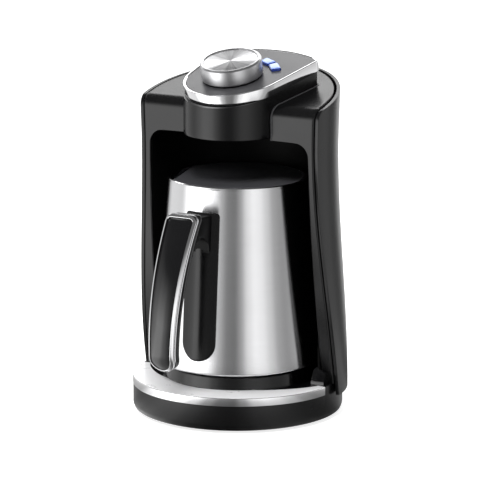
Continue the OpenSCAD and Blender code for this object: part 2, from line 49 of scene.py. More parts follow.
# Inner edge of the bright crescent: its circle, and the least radius it comes down to.
CRESCENT_R, CRESCENT_Y, CRESCENT_LEAST_R = 76.5, 30.0, 51.3
# Raised corners of the deck in front of the legs: height by y, and height by x.
TOE_FRONT, TOE_LENGTH = ((-4.6, 27.0), (0.8, 37.0), (3.0, 22.4)), 7.4
TOE_ROOF = ((60.4, 34.3), (62.4, 36.3), (72.0, 31.2))
# Body: radius by height, its axis, its walls, and the arc of its front.
WAIST_R, SKIRT_GROWTH, BROW_GROWTH, BROW_SPAN = 70.3, 7.3, 0.8, 30.0
WAIST_Z, BODY_LOW, AXIS_Y = 190.0, 17.0, -2.0
WALL, FRAME_INSET, EDGE_SET_BACK = 2.4, 3.1, 0.7
FRAME_R = WAIST_R - FRAME_INSET
FRONT_ARC_R, FRONT_ARC_Z, FRONT_Y = 1055.0, 215.0, -14.2
SHOULDER_Z, SHOULDER_TILT, ROLL_R = 220.2, math.radians(12.4), 9.0
# Edges of the front frame: roundings at the bay and at the side, depth of the turned-in flange.
BAY_EDGE, SIDE_EDGE, FLANGE = 0.9, 1.0, 8.0
# Bay and its ceiling.
BAY_TOP, BAY_LOW, BAY_R, BAY_LOW_R, BAY_CORNER = 194.5, 22.5, 61.8, 65.4, 10.0
BAY_CORNER_Z = BAY_TOP - BAY_CORNER
CEILING_Z, CEILING_H = 195.6, 2.4
# Head: the knob's place on the tilted plate, the nose, the band, the knob and the keys.
KNOB_Y, KNOB_Z, PLATE_TILT = -7.2, 235.3, math.radians(15)
NOSE_R, BAND_H, KNOB_R, KNOB_H = 34.3, 7.7, 21.3, 12.4
KEY_TURNS, KEY_RADIUS, KEY_SIZE, KEY_CORNER = (27.2, 49.7), 29.7, (10.3, 6.7), 1.2
# Plans: circles (x, y, radius, points) and an arc of circles at the back (x, y, arc, radius).
HEAD_ROUNDS = ((0, KNOB_Y, NOSE_R - 0.5, 160), (-28.6, 27, 4, 64), (41.3, 30.6, 3.6, 64))
HEAD_BACK = (8.4, -38.5, 74, 6)
PLATE_ROUNDS = ((0, 0, NOSE_R, 160), (5.5, 2, NOSE_R - 2.8, 160), (-29.5, 34.4, 4.6, 64),
                (42.3, 36, 4.6, 64))
PLATE_BACK = (8.4, -30.6, 72, 8)
# Pot, its pouring notch and its lid.
POT_LOW_R, POT_TOP_R, RIM_Z, POT_WALL = 56.7, 47.8, 165.0, 1.2
SPOUT_ANGLE, SPOUT_CHORD, SPOUT_DIP, SPOUT_HALF, SPOUT_REACH = 195.0, 38.7, 3.3, 9.5, 9.0
# Strip on the pot, and the handle.
STRIP_HALF, STRIP_MID_Z, STRIP_TOP_Z, STRIP_CORNER = 12.95, 57.7, 147.5, 2.5
HANDLE_FRONT, HANDLE_BOW, HANDLE_TOE, HANDLE_DEPTH = -107.3, 0.0036, 0.03, 14.0
HANDLE_LOW_Z, HANDLE_MID_Z, HANDLE_BEND_Z, HANDLE_HIGH_Z = 47.0, 60.0, 147.5, 151.0
HANDLE_FOOT_R, HANDLE_GROWTH, HANDLE_CORNER, FACE_INSET = 9.5, 0.028, 5.0, 1.9
HANDLE_ROUND_Z, HANDLE_CORNER_Z = HANDLE_LOW_Z + HANDLE_FOOT_R, HANDLE_HIGH_Z - HANDLE_CORNER
BRIDGE_LOW_Z, BRIDGE_HIGH_Z, BRIDGE_HALF, BRIDGE_MIDDLE = 120.0, 147.0, 8.5, (-62.0, 137.0)

MM = 1000  # in a metre
TAU = 2 * math.pi


def body_r(z):
    """Radius of the body."""
    flare = min(1.0, max(0.0, WAIST_Z - z) / (WAIST_Z - BODY_LOW))
    skirt = SKIRT_GROWTH * (1 - math.cos(math.pi * flare)) / 2
    return WAIST_R + skirt + BROW_GROWTH * max(0.0, z - WAIST_Z) / BROW_SPAN


def bay_half(z):
    """Half the width of the bay, below its corners."""
    return BAY_LOW_R - (BAY_LOW_R - BAY_R) * (z - BAY_LOW) / (BAY_CORNER_Z - BAY_LOW)


def front_y(z):
    """Front of the two legs."""
    return FRONT_Y + FRONT_ARC_R - math.sqrt(FRONT_ARC_R ** 2 - (z - FRONT_ARC_Z) ** 2)


def liner_y(z):
    """Front edge of what lies behind the frame."""
    return front_y(z) + WALL + 0.1


def deck_z(y):
    """Height of the sloping shoulders."""
    return SHOULDER_Z + math.tan(SHOULDER_TILT) * y


def pot_r(z):
    return POT_LOW_R + (POT_TOP_R - POT_LOW_R) * (z - PLATE_TOP) / (RIM_Z - PLATE_TOP)


def handle_y(z):
    """Front of the handle: bowed towards the pot above, and at its toe."""
    rise = max(0.0, min(z, HANDLE_BEND_Z) - HANDLE_MID_Z)
    return HANDLE_FRONT + HANDLE_BOW * rise ** 2 + HANDLE_TOE * max(0.0, HANDLE_MID_Z - z) ** 2


def handle_half(z):
    return HANDLE_FOOT_R + HANDLE_GROWTH * max(0.0, z - HANDLE_MID_Z)


# ------------------------------ outlines

def arc(cx, cy, r, start, end, count):
    """Points on an arc, from one angle to another, in degrees."""
    turns = [math.radians(start + (end - start) * i / count) for i in range(count + 1)]
    return [(cx + r * math.cos(a), cy + r * math.sin(a)) for a in turns]


def quarter(steps):
    """Turns from 0 to a right angle."""
    return [math.pi / 2 * i / steps for i in range(steps + 1)]


def swell(t):
    """Rise of a quarter circle, from 0 to 1."""
    return math.sqrt(max(0.0, 1 - (1 - t) ** 2))


def ring_points(cx, cy, r, count=160):
    return arc(cx, cy, r, 0, 360, count)[:-1]


def value_at(table, x):
    """Straight-line value at x between the points of a table."""
    for (xa, ya), (xb, yb) in zip(table, table[1:]):
        if x <= xb:
            break
    return ya + (yb - ya) * (x - xa) / (xb - xa)


def hull(points):
    """Convex outline around points, counterclockwise."""
    points = sorted(set(points))

    def half(seq):
        out = []
        for p in seq:
            while len(out) > 1 and ((out[-1][0] - out[-2][0]) * (p[1] - out[-2][1])
                                    - (out[-1][1] - out[-2][1]) * (p[0] - out[-2][0])) <= 0:
                out.pop()
            out.append(p)
        return out[:-1]

    return half(points) + half(points[::-1])


def resample(outline, count, closed=True):
    """The same outline as evenly spaced points."""
    loop = outline + outline[:1] if closed else outline
    lengths = [0.0]
    for a, b in zip(loop, loop[1:]):
        lengths.append(lengths[-1] + math.dist(a, b))
    out, k = [], 0
    for i in range(count if closed else count + 1):
        s = lengths[-1] * i / count
        while k < len(lengths) - 2 and lengths[k + 1] < s:
            k += 1
        t = (s - lengths[k]) / max(1e-9, lengths[k + 1] - lengths[k])
        out.append(tuple(a + (b - a) * t for a, b in zip(loop[k], loop[k + 1])))
    return out


def rounded(points, steps=6):
    """Closed profile through (x, y, corner radius) points with its corners rounded."""
    out = []
    for i, (x, y, r) in enumerate(points):
        if r <= 0:
            out.append((x, y))
            continue
        p, a, b = (Vector(q[:2]) for q in (points[i], points[i - 1], points[(i + 1) % len(points)]))
        da, db = (a - p).normalized(), (b - p).normalized()
        half = math.acos(max(-1, min(1, da.dot(db)))) / 2
        reach = min(r / math.tan(half), 0.49 * (a - p).length, 0.49 * (b - p).length)
        start, end = p + da * reach, p + db * reach
        for k in range(steps + 1):
            t = k / steps
            q = start * (1 - t) ** 2 + p * 2 * t * (1 - t) + end * t ** 2
            out.append((q.x, q.y))
    return out


def rounds_plan(rounds, back, grow):
    """Convex outline around circles and an arc of circles, begun at its foremost point."""
    points = []
    for x, y, r, count in rounds:
        points += ring_points(x, y, max(0.3, r + grow), count)
    x, y, sweep, r = back
    for degrees in range(-24, 25):
        t = math.radians(degrees)
        points += ring_points(x + sweep * math.sin(t), y + sweep * math.cos(t), r + grow, 48)
    loop = hull(points)
    first = min(range(len(loop)), key=lambda i: loop[i][1])
    return loop[first:] + loop[:first]


def head_plan(grow):
    """Plan of the head: straight on the left, reaching out to a rear corner on the right."""
    return rounds_plan(HEAD_ROUNDS, HEAD_BACK, grow)


def plate_outline(grow):
    """Outline of the control plate, in its own tilted plane."""
    return rounds_plan(PLATE_ROUNDS, PLATE_BACK, grow)


def key_outline(grow):
    """A key: an arch segment with rounded corners, wider at its outer side."""
    points = []
    for side in (-1, 1):
        for end in (-1, 1):
            y = end * (KEY_SIZE[1] / 2 - KEY_CORNER)
            x = (KEY_RADIUS + y) * KEY_SIZE[0] / 2 / KEY_RADIUS - KEY_CORNER
            points += ring_points(side * x, y, KEY_CORNER + grow, 48)
    return resample(hull(points), 64)


def handle_outline(inset):
    """Front view of the handle, as a closed loop of (x, z)."""
    low, high, r = HANDLE_ROUND_Z, HANDLE_CORNER_Z, HANDLE_CORNER - inset
    rows = [low + (high - low) * i / 60 for i in range(61)]
    corner_x = handle_half(high) - HANDLE_CORNER
    loop = arc(0, low, HANDLE_FOOT_R - inset, -180, 0, 24)
    loop += [(handle_half(z) - inset, z) for z in rows[1:]]
    loop += arc(corner_x, high, r, 0, 90, 12)[1:]
    loop += arc(-corner_x, high, r, 90, 180, 10)
    loop += [(inset - handle_half(z), z) for z in rows[-2:0:-1]]
    return resample(loop, 240)


def handle_width(z, inset):
    """Half the width of the handle's inset outline at height z."""
    if z < HANDLE_ROUND_Z:
        return math.sqrt(max(0.0, (HANDLE_FOOT_R - inset) ** 2 - (HANDLE_ROUND_Z - z) ** 2))
    if z > HANDLE_CORNER_Z:
        across = math.sqrt(max(0.0, (HANDLE_CORNER - inset) ** 2 - (z - HANDLE_CORNER_Z) ** 2))
        return handle_half(HANDLE_CORNER_Z) - HANDLE_CORNER + across
    return handle_half(z) - inset


# ------------------------------ meshes

PLATE_SPACE = Matrix.Translation((0, KNOB_Y / MM, KNOB_Z / MM))
PLATE_SPACE = PLATE_SPACE @ Matrix.Rotation(PLATE_TILT, 4, "X")


def add_object(name, data):
    obj = bpy.data.objects.new(name, data)
    bpy.context.scene.collection.objects.link(obj)
    return obj


def mesh_object(name, verts, faces):
    """A mesh from points in mm."""
    mesh = bpy.data.meshes.new(name)
    mesh.from_pydata([(x / MM, y / MM, z / MM) for x, y, z in verts], [], faces)
    mesh.validate()
    work = bmesh.new()
    work.from_mesh(mesh)
    bmesh.ops.remove_doubles(work, verts=work.verts, dist=1e-6)
    bmesh.ops.recalc_face_normals(work, faces=work.faces)
    work.to_mesh(mesh)
    work.free()
    return add_object(name, mesh)


def grid(name, rows, wrap_rows=False, wrap_cols=False, caps=False):
    """A sheet through rows of points; it closes on itself where asked."""
    cols = len(rows[0])
    faces = []
    for i in range(len(rows) - (0 if wrap_rows else 1)):
        for j in range(cols - (0 if wrap_cols else 1)):
            a, b = i * cols, ((i + 1) % len(rows)) * cols
            k = (j + 1) % cols
            faces.append((a + j, a + k, b + k, b + j))
    if caps:
        faces.append(tuple(range(cols)))
        faces.append(tuple((len(rows) - 1) * cols + j for j in range(cols)))
    return mesh_object(name, [p for row in rows for p in row], faces)


def tube(name, rows):
    """A form through closed rows, with flat ends."""
    return grid(name, rows, wrap_cols=True, caps=True)


def loop_form(name, rows):
    """A form through closed rows that comes back to the first one."""
    return grid(name, rows, wrap_rows=True, wrap_cols=True)


def turned(profile, angle):
    """An (r, z) profile stood up along one direction."""
    return [(r * math.cos(angle), r * math.sin(angle), z) for r, z in profile]


def revolve(name, profile, count=160):
    """A closed (r, z) profile turned around an upright axis."""
    return loop_form(name, [turned(profile, TAU * i / count) for i in range(count)])


def stack(outline, levels):
    """Rows of points, one for each (growth, height) of an upright form."""
    return [[(x, y, z) for x, y in outline(grow)] for grow, z in levels]


def mirrored(rows):
    """The same rows on the other side, in the opposite order."""
    return [[(-x, y, z) for x, y, z in row] for row in rows[::-1]]


def join(name, objects):
    """One object from several closed meshes."""
    verts, faces = [], []
    for obj in objects:
        base = len(verts)
        verts += [tuple(MM * c for c in v.co) for v in obj.data.vertices]
        faces += [tuple(base + i for i in p.vertices) for p in obj.data.polygons]
        bpy.data.objects.remove(obj)
    return mesh_object(name, verts, faces)


def thicken(obj, thickness, offset=-1.0):
    mod = obj.modifiers.new("wall", "SOLIDIFY")
    mod.thickness, mod.offset, mod.use_even_offset = thickness / MM, offset, False


def soften(obj, width, segments, angle):
    mod = obj.modifiers.new("edges", "BEVEL")
    mod.width, mod.segments = width / MM, segments
    mod.limit_method, mod.angle_limit = "ANGLE", math.radians(angle)
    mod.use_clamp_overlap = True


def worked_out(obj):
    """The mesh of an object once its modifiers or its curve are worked out."""
    bpy.context.view_layer.update()
    shape = obj.evaluated_get(bpy.context.evaluated_depsgraph_get())
    return bpy.data.meshes.new_from_object(shape)


def place(obj, body, slot, node=None, sharp=38, finish=()):
    """Settles a finished piece: its mesh, its shading, its materials and the body it rides on."""
    if obj.modifiers:
        mesh = worked_out(obj)
        obj.modifiers.clear()
        obj.data = mesh
    obj.data.shade_smooth()
    obj.data.set_sharp_from_angle(angle=math.radians(sharp))
    obj.data.materials.clear()
    for name in finish or [slot]:
        obj.data.materials.append(MATS[name])
    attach(obj, body)
    if node:
        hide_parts(node)


# ------------------------------ materials

class Tree:
    """Short calls that build the node tree of a material or a world."""

    def __init__(self, tree):
        self.nodes, self.links = tree.nodes, tree.links

    def fill(self, node, inputs):
        """Gives inputs their values, or links them where the value is a node's output."""
        for name, value in inputs.items():
            if isinstance(value, bpy.types.NodeSocket):
                self.links.new(value, node.inputs[name])
            else:
                node.inputs[name].default_value = value

    def make(self, kind, output, inputs=(), **settings):
        """Adds a node and returns one of its outputs."""
        node = self.nodes.new("ShaderNode" + kind)
        for name, value in settings.items():
            setattr(node, name, value)
        self.fill(node, dict(inputs))
        return node.outputs[output]

    def space(self, scale=(1, 1, 1)):
        where = self.make("TexCoord", "Object")
        return self.make("Mapping", "Vector", {"Vector": where, "Scale": scale})

    def noise(self, vector, scale, detail=3.0, rough=0.55):
        return self.make("TexNoise", "Fac", {"Vector": vector, "Scale": scale, "Detail": detail,
                                             "Roughness": rough})

    def spread(self, value, low, high, start=0.3, end=0.7):
        """Maps the span from start to end onto the span from low to high."""
        return self.make("MapRange", "Result", {"Value": value, "From Min": start, "From Max": end,
                                                "To Min": low, "To Max": high})

    def tint(self, value, dark, light):
        return self.make("Mix", "Result", {"Factor": value, "A": (*dark, 1), "B": (*light, 1)},
                         data_type="RGBA")

    def bump(self, height, strength, distance):
        return self.make("Bump", "Normal", {"Height": height, "Strength": strength,
                                            "Distance": distance})

    def calc(self, operation, first, second):
        return self.make("Math", "Value", {0: first, 1: second}, operation=operation)

    def painted_highlight_fans(self, dark, light):
        """Painted reflection: fans of lighter and darker metal around the turning centre, in place
        of the highlights a spun face shows.
        """
        flat = self.make("VectorMath", "Vector", {0: self.make("TexCoord", "Object"), 1: (1, 1, 0)},
                         operation="MULTIPLY")
        heading = self.make("VectorMath", "Vector", {0: flat}, operation="NORMALIZE")
        level = self.spread(self.noise(heading, 2.2, 5.0, 0.7), 0.0, 1.0, 0.35, 0.65)
        return self.tint(level, dark, light)


MATS = {}


def new_material(name):
    MATS[name] = mat = bpy.data.materials.new(name)
    mat.use_nodes = True
    return Tree(mat.node_tree), mat.node_tree.nodes["Principled BSDF"]


def shades(colour, vary):
    """A darker and a lighter tone of a colour."""
    return tuple(c * (1 - vary) for c in colour), tuple(min(1, c * (1 + vary)) for c in colour)


def plastic(name, colour, roughness, grain=0.15, grain_scale=2600.0, vary=0.15, mirror=0.35):
    """Moulded plastic: a fine grain, and slow changes of tone and polish."""
    tree, shader = new_material(name)
    space = tree.space()
    slow = tree.noise(space, 35.0, 4.0)
    fine = tree.noise(space, grain_scale, 2.0)
    tree.fill(shader, {"Base Color": tree.tint(slow, *shades(colour, vary)),
                       "Roughness": tree.spread(slow, roughness * 0.9, roughness * 1.1),
                       "Normal": tree.bump(fine, grain, 0.00004),
                       "Specular IOR Level": mirror})


def metal(name, colour, roughness, anisotropic=0.0, brush=(1, 1, 1), brush_scale=900.0, depth=0.1,
          vary=0.06, painted_highlight_fans=()):
    """Bare metal with brush marks stretched along the small axes of brush, or with painted
    highlight fans as its tone.
    """
    tree, shader = new_material(name)
    marks = tree.noise(tree.space(brush), brush_scale, 4.0, 0.65)
    slow = tree.noise(tree.space(), 25.0, 3.0)
    # Where fans are given they set the tone: a painted reflection of a spun face, not the metal's
    # own colour.
    tone = tree.painted_highlight_fans(*painted_highlight_fans) if painted_highlight_fans else tree.tint(marks, *shades(colour, vary))
    tree.fill(shader, {"Base Color": tone, "Metallic": 1.0, "Anisotropic": anisotropic,
                       "Roughness": tree.spread(slow, roughness * 0.85, roughness * 1.15),
                       "Normal": tree.bump(marks, depth, 0.00003)})
    if anisotropic:
        around = tree.make("Tangent", "Tangent", direction_type="RADIAL", axis="Z")
        tree.fill(shader, {"Tangent": around, "Anisotropic Rotation": 0.25})


def satin_metal(name, colour, roughness, bare):
    """Silvered plastic: partly mirror, partly pale scatter, slightly cloudy."""
    tree, shader = new_material(name)
    slow = tree.noise(tree.space(), 60.0, 5.0, 0.65)
    dark, _ = shades(colour, 0.015)
    tree.fill(shader, {"Base Color": tree.tint(slow, dark, colour), "Metallic": bare,
                       "Roughness": tree.spread(slow, roughness * 0.97, roughness * 1.03)})


def translucent(name, colour, roughness, through, glow=0.0):
    """Clear tinted plastic with slight clouding, and a painted glow of its own colour where glow is
    given.
    """
    tree, shader = new_material(name)
    cloud = tree.noise(tree.space(), 300.0)
    dark, _ = shades(colour, 0.15)
    tree.fill(shader, {"Base Color": tree.tint(cloud, dark, colour), "Coat Weight": 0.5,
                       "Roughness": tree.spread(cloud, roughness * 0.9, roughness * 1.2),
                       "Transmission Weight": through,
                       "Emission Color": (*colour, 1), "Emission Strength": glow})


plastic("foot_rubber", (0.018, 0.018, 0.018), 0.75, 0.5, grain_scale=1200)
plastic("matte_black", (0.002, 0.002, 0.0021), 0.5, 0.25, mirror=0.12)
plastic("satin_black", (0.004, 0.004, 0.0043), 0.25, 0.06)
plastic("gloss_black", (0.004, 0.004, 0.0045), 0.14, 0.03, mirror=0.6)
plastic("bridge_black", (0.002, 0.002, 0.0022), 0.42, 0.1, mirror=0.1)
# A lighter grey for the seam bead: a painted highlight, not the plastic's own colour.
plastic("seam_painted_highlight", (0.035, 0.035, 0.037), 0.3, 0.1)
plastic("lid_black", (0.050, 0.050, 0.055), 0.35, 0.1)
plastic("panel_grey", (0.045, 0.045, 0.048), 0.33, 0.2, grain_scale=3200)
plastic("plate_coating", (0.02, 0.02, 0.02), 0.45, 0.6, grain_scale=900)
plastic("ceramic", (0.62, 0.58, 0.5), 0.7, 0.4, grain_scale=900)
plastic("screw_black", (0.02, 0.02, 0.02), 0.4, 0.3, grain_scale=1500)
plastic("terminal_plastic", (0.62, 0.6, 0.54), 0.5, 0.2)
plastic("part_plastic", (0.03, 0.03, 0.035), 0.5, 0.2)
plastic("board_green", (0.02, 0.14, 0.06), 0.4, 0.5, grain_scale=700, vary=0.3)
plastic("relay_blue", (0.03, 0.1, 0.35), 0.45, 0.2)
plastic("capacitor_sleeve", (0.03, 0.03, 0.05), 0.25, 0.1)
plastic("wire_insulation", (0.3, 0.03, 0.02), 0.5, 0.2)
plastic("seal_grey", (0.14, 0.14, 0.14), 0.6, 0.3, grain_scale=1500)
metal("bright_metal", (0.80, 0.80, 0.81), 0.10, depth=0.02, vary=0.02)
metal("pot_steel", (0.70, 0.70, 0.71), 0.20, 0.6, (1, 1, 60), 60.0, 0.12, 0.08)
metal("knob_metal", (0.62, 0.62, 0.63), 0.34, 0.5, (1, 1, 60), 90.0, 0.10, 0.05)
# The spun face's lighter and darker fans are painted reflection, not the metal's own tone.
metal("knob_face", None, 0.42, 0.95, depth=0.05, painted_highlight_fans=((0.42, 0.42, 0.43), (0.86, 0.86, 0.87)))
metal("heater_steel", (0.25, 0.23, 0.22), 0.45, vary=0.3)
metal("shield_aluminium", (0.75, 0.75, 0.75), 0.35)
metal("spring_steel", (0.6, 0.6, 0.62), 0.25)
metal("screw_steel", (0.62, 0.62, 0.64), 0.28)
satin_metal("crescent_top", (0.95, 0.95, 0.96), 0.28, 0.15)
translucent("sensor_window", (0.08, 0.02, 0.03), 0.08, 0.5)
translucent("led_lens", (0.5, 0.7, 1.0), 0.2, 0.4)
# The faint glow of the key tops is a painted glow; the keys are no lamp.
translucent("key_blue", (0.20, 0.33, 0.80), 0.14, 0.25, 0.06)
# A darker copy of key_blue for the caps' sides: painted shade.
translucent("key_blue_painted_shade", (0.03, 0.07, 0.42), 0.2, 0.3)

for entry in frame["record"]["subparts"]:
    for holder in frame["nodes"][entry["node"]].material_slots:
        holder.material = MATS[entry["material_slot"]]

# ------------------------------ body

# The side of the frame as one length: up the face, over the rolled brow, and along the shoulders.
ROLL_Y = FRONT_Y + ROLL_R
ROLL_Z = deck_z(ROLL_Y) - ROLL_R / math.cos(SHOULDER_TILT)
FACE_LOW = TRIM_TOP + 0.05
FACE_LEN = ROLL_Z - FACE_LOW
ROLL_LEN = ROLL_R * (math.pi / 2 - SHOULDER_TILT)
ROLL_END = FACE_LEN + ROLL_LEN
TOP_S = BAY_TOP - FACE_LOW
DECK_START = ROLL_Y - ROLL_R * math.sin(SHOULDER_TILT)
DECK_NORMAL = (-math.sin(SHOULDER_TILT), math.cos(SHOULDER_TILT))


def side_point(s):
    """A place on the face, brow and shoulders, by length from the foot: y, z and outward normal."""
    if s <= FACE_LEN:
        z = FACE_LOW + s
        lean = (FRONT_ARC_Z - z) / FRONT_ARC_R
        return front_y(z), z, -math.sqrt(1 - lean * lean), -lean
    if s <= ROLL_END:
        a = math.pi - (s - FACE_LEN) / ROLL_R
        ny, nz = math.cos(a), math.sin(a)
        return ROLL_Y + ROLL_R * ny, ROLL_Z + ROLL_R * nz, ny, nz
    y = DECK_START + (s - ROLL_END) * math.cos(SHOULDER_TILT)
    return y, deck_z(y), *DECK_NORMAL


def deck_length(y):
    return ROLL_END + (y - DECK_START) / math.cos(SHOULDER_TILT)


def frame_x(y, z):
    """How far the frame reaches to the side."""
    return math.sqrt(max(0.0, (body_r(z) - FRAME_INSET) ** 2 - (y - AXIS_Y) ** 2))


def outline_x(outline, y):
    """How far an outline reaches to the right at y."""
    best = 0.0
    for a, b in zip(outline, outline[1:] + outline[:1]):
        if (a[1] - y) * (b[1] - y) <= 0 and a[1] != b[1]:
            best = max(best, a[0] + (b[0] - a[0]) * (y - a[1]) / (b[1] - a[1]))
    return best


def flip(outline):
    return [(-x, y) for x, y in outline]


def frame_section(span):
    """Profile across the frame: distance from its inner edge, and depth."""
    line = [(0.0, WALL)]
    line += [(BAY_EDGE * (1 - math.cos(t)), BAY_EDGE * (1 - math.sin(t))) for t in quarter(5)]
    line += [(BAY_EDGE + (span - BAY_EDGE - SIDE_EDGE) * j / 24, 0.0) for j in range(1, 24)]
    line += [(span - SIDE_EDGE * (1 - math.sin(t)), SIDE_EDGE * (1 - math.cos(t)))
             for t in quarter(5)]
    line += [(span, 3.5), (span, FLANGE), (span - WALL, FLANGE), (span - WALL, WALL)]
    return line + [((span - WALL) * (1 - j / 12), WALL) for j in range(1, 12)]


def frame_rows(cut):
    """Cross-sections of the frame's right half, from the foot to the middle of the back."""
    inner, outer = [], []

    def run(count, start, end, inside):
        """Adds steps whose outer end goes from start to end along the side."""
        for i in range(count):
            s = start + (end - start) * i / count
            inner.append(inside(i / count))
            outer.append((frame_x(*side_point(s)[:2]), s))

    def on_cut(start, end):
        """The edge against the head, between two lengths."""
        def inside(t):
            s = start + (end - start) * t
            return outline_x(cut, side_point(s)[0]), s
        return inside

    corner_s = BAY_CORNER_Z - FACE_LOW
    past_corner, past_top = corner_s + 8, TOP_S + 4
    corner = arc(BAY_R - BAY_CORNER, corner_s, BAY_CORNER, 0, 90, 14)
    nose_x = outline_x(cut, front_y(BAY_TOP))
    run(70, 0, corner_s, lambda t: (bay_half(FACE_LOW + corner_s * t), corner_s * t))
    run(14, corner_s, past_corner, lambda t: corner[round(t * 14)])
    run(14, past_corner, past_top,
        lambda t: (BAY_R - BAY_CORNER + (nose_x - BAY_R + BAY_CORNER) * t, TOP_S))
    run(10, past_top, FACE_LEN, on_cut(TOP_S, FACE_LEN))
    run(14, FACE_LEN, ROLL_END, on_cut(FACE_LEN, ROLL_END))

    rear = [p for p in cut if p[0] > 1e-6 and p[1] > DECK_START]
    rear.sort(key=lambda p: math.atan2(p[1], p[0]))
    middle = (0.0, outline_x([(y, x) for x, y in cut], 0.0))
    count = 60
    rim = resample([(outline_x(cut, DECK_START), DECK_START), *rear, middle], count, closed=False)
    lowest = math.asin((DECK_START - AXIS_Y) / FRAME_R)
    for i, (x, y) in enumerate(rim):
        turn = lowest + (math.pi / 2 - lowest) * i / count
        inner.append((x, deck_length(y)))
        outer.append((FRAME_R * math.cos(turn), deck_length(AXIS_Y + FRAME_R * math.sin(turn))))

    rows = []
    for (xi, si), (xo, so) in zip(inner, outer):
        span = math.dist((xi, si), (xo, so))
        y0, z0, _, _ = side_point(so)
        row = []
        for across, depth in frame_section(span):
            t = across / span
            y, z, ny, nz = side_point(si + (so - si) * t)
            x = xi + (xo - xi) * t
            if so > ROLL_END + 0.01:
                row.append((x, y, z - depth))
                continue
            if across > span - 2 * WALL:
                x += frame_x(y0 - ny * depth, z0 - nz * depth) - frame_x(y0, z0)
            row.append((x, y - ny * depth, z - nz * depth))
        rows.append(row)
    return rows


def front_frame():
    """Legs, brow and shoulders as one bent sheet with its edges turned in."""
    cut = head_plan(0.3)
    rows = frame_rows(cut) + mirrored(frame_rows(flip(cut))[:-1])
    place(tube("front_frame_shell", rows), "machine", "satin_black", "front_frame")


def rear_cover():
    """Outer shell: straight columns from the lower edge to the sloping rim."""
    steps = 60
    radius = ROLL_R - EDGE_SET_BACK

    def contour_top(y):
        if y < ROLL_Y - radius * math.sin(SHOULDER_TILT):
            return ROLL_Z + math.sqrt(max(0.0, radius ** 2 - (y - ROLL_Y) ** 2))
        return deck_z(y) - EDGE_SET_BACK / math.cos(SHOULDER_TILT)

    def shell_point(w, z):
        """A place on the shell, from its front edge (w 0) to the middle of the back (w 1)."""
        r = body_r(z)
        start = math.asin((front_y(min(z, ROLL_Z)) + EDGE_SET_BACK - AXIS_Y) / r)
        a = start + (math.pi / 2 - start) * w
        return r * math.cos(a), AXIS_Y + r * math.sin(a), z

    rows = []
    for i in range(steps + 1):
        w = (i / steps) ** 1.6
        top, above = (150.0, 245.0) if i else (ROLL_Z, ROLL_Z)
        for _ in range(40):
            mid = (top + above) / 2
            if mid < contour_top(shell_point(w, mid)[1]):
                top = mid
            else:
                above = mid
        rows.append([shell_point(w, BODY_LOW + (top - BODY_LOW) * j / steps)
                     for j in range(steps + 1)])
    obj = grid("rear_cover_shell", rows + mirrored(rows[:-1]))
    thicken(obj, WALL)
    soften(obj, 0.8, 4, 50)
    place(obj, "machine", "satin_black", "rear_cover")


def bay_liner():
    """Inner wall of the bay, from the cheeks round the back, with its top corner rounded."""
    heights = [DECK_Z + 0.05 + (BAY_CORNER_Z - DECK_Z) * i / 30 for i in range(30)]
    profile = [(bay_half(z), z) for z in heights]
    profile += arc(BAY_R - BAY_CORNER, BAY_CORNER_Z, BAY_CORNER, 0, 88, 10)
    cheek = [[(r, liner_y(z) * (1 - i / 12), z) for r, z in profile] for i in range(12)]
    back = [turned(profile, math.pi * i / 96) for i in range(97)]
    obj = grid("bay_wall", cheek + back + mirrored(cheek))
    thicken(obj, 1.8, 1.0)
    place(obj, "machine", "matte_black", "bay_liner")


# ------------------------------ head

def head_wall():
    """Upright wall of the head, from its rounded lower edge to the sloping plate."""
    low, edge = CEILING_Z + 0.4, 0.9

    def wall(grow):
        return resample(head_plan(grow), 260)

    def top(y):
        under = (BAND_H + 0.1) / math.cos(PLATE_TILT)
        return KNOB_Z + math.tan(PLATE_TILT) * (y - KNOB_Y) - under

    rows = stack(wall, [(-2.2, low + edge), (-1.5, low + 0.25), (-0.8, low), (-0.25, low + 0.25),
                        (0.0, low + edge)])
    for t in (0.1, 0.3, 0.5, 0.7, 0.9, 1.0):
        rows.append([(x, y, low + edge + (top(y) - low - edge) * t) for x, y in wall(0)])
    rows.append([(x, y, top(y)) for x, y in wall(-WALL)])
    place(loop_form("head_wall", rows), "machine", "satin_black", "head_housing")


def seam_bead():
    """Fine bead along the joint between the head and the frame, in a lighter grey that is a painted
    highlight along the joint.
    """
    half_wide, half_high, sunk = 0.75, 0.55, 0.1
    cut = resample(head_plan(0.95), 320)

    def run_down(sign):
        """The bead's way over the brow and down the face, on one side."""
        outline = cut if sign > 0 else flip(cut)
        out = []
        for i in range(1, 29):
            y, z, ny, nz = side_point(ROLL_END - (ROLL_END - TOP_S) * i / 28)
            out.append((sign * outline_x(outline, y), y, z, ny, nz))
        return out

    rear = sorted((p for p in cut if p[1] > ROLL_Y), key=lambda p: math.atan2(p[0], p[1] + 5))
    bead = [(x, y, deck_z(y), *DECK_NORMAL) for x, y in rear]
    bead = run_down(-1)[::-1] + bead + run_down(1)
    rows = []
    for k, (x, y, z, ny, nz) in enumerate(bead):
        before, after = bead[max(0, k - 1)], bead[min(len(bead) - 1, k + 1)]
        along = Vector([b - a for a, b in zip(before[:3], after[:3])]).normalized()
        up = Vector((0, ny, nz))
        side = along.cross(up).normalized()
        rows.append([Vector((x, y, z)) + side * (half_wide * math.cos(TAU * q / 12))
                     + up * (half_high * math.sin(TAU * q / 12) - sunk) for q in range(12)])
    place(tube("head_seam_bead", rows), "machine", "satin_black", finish=["seam_painted_highlight"])


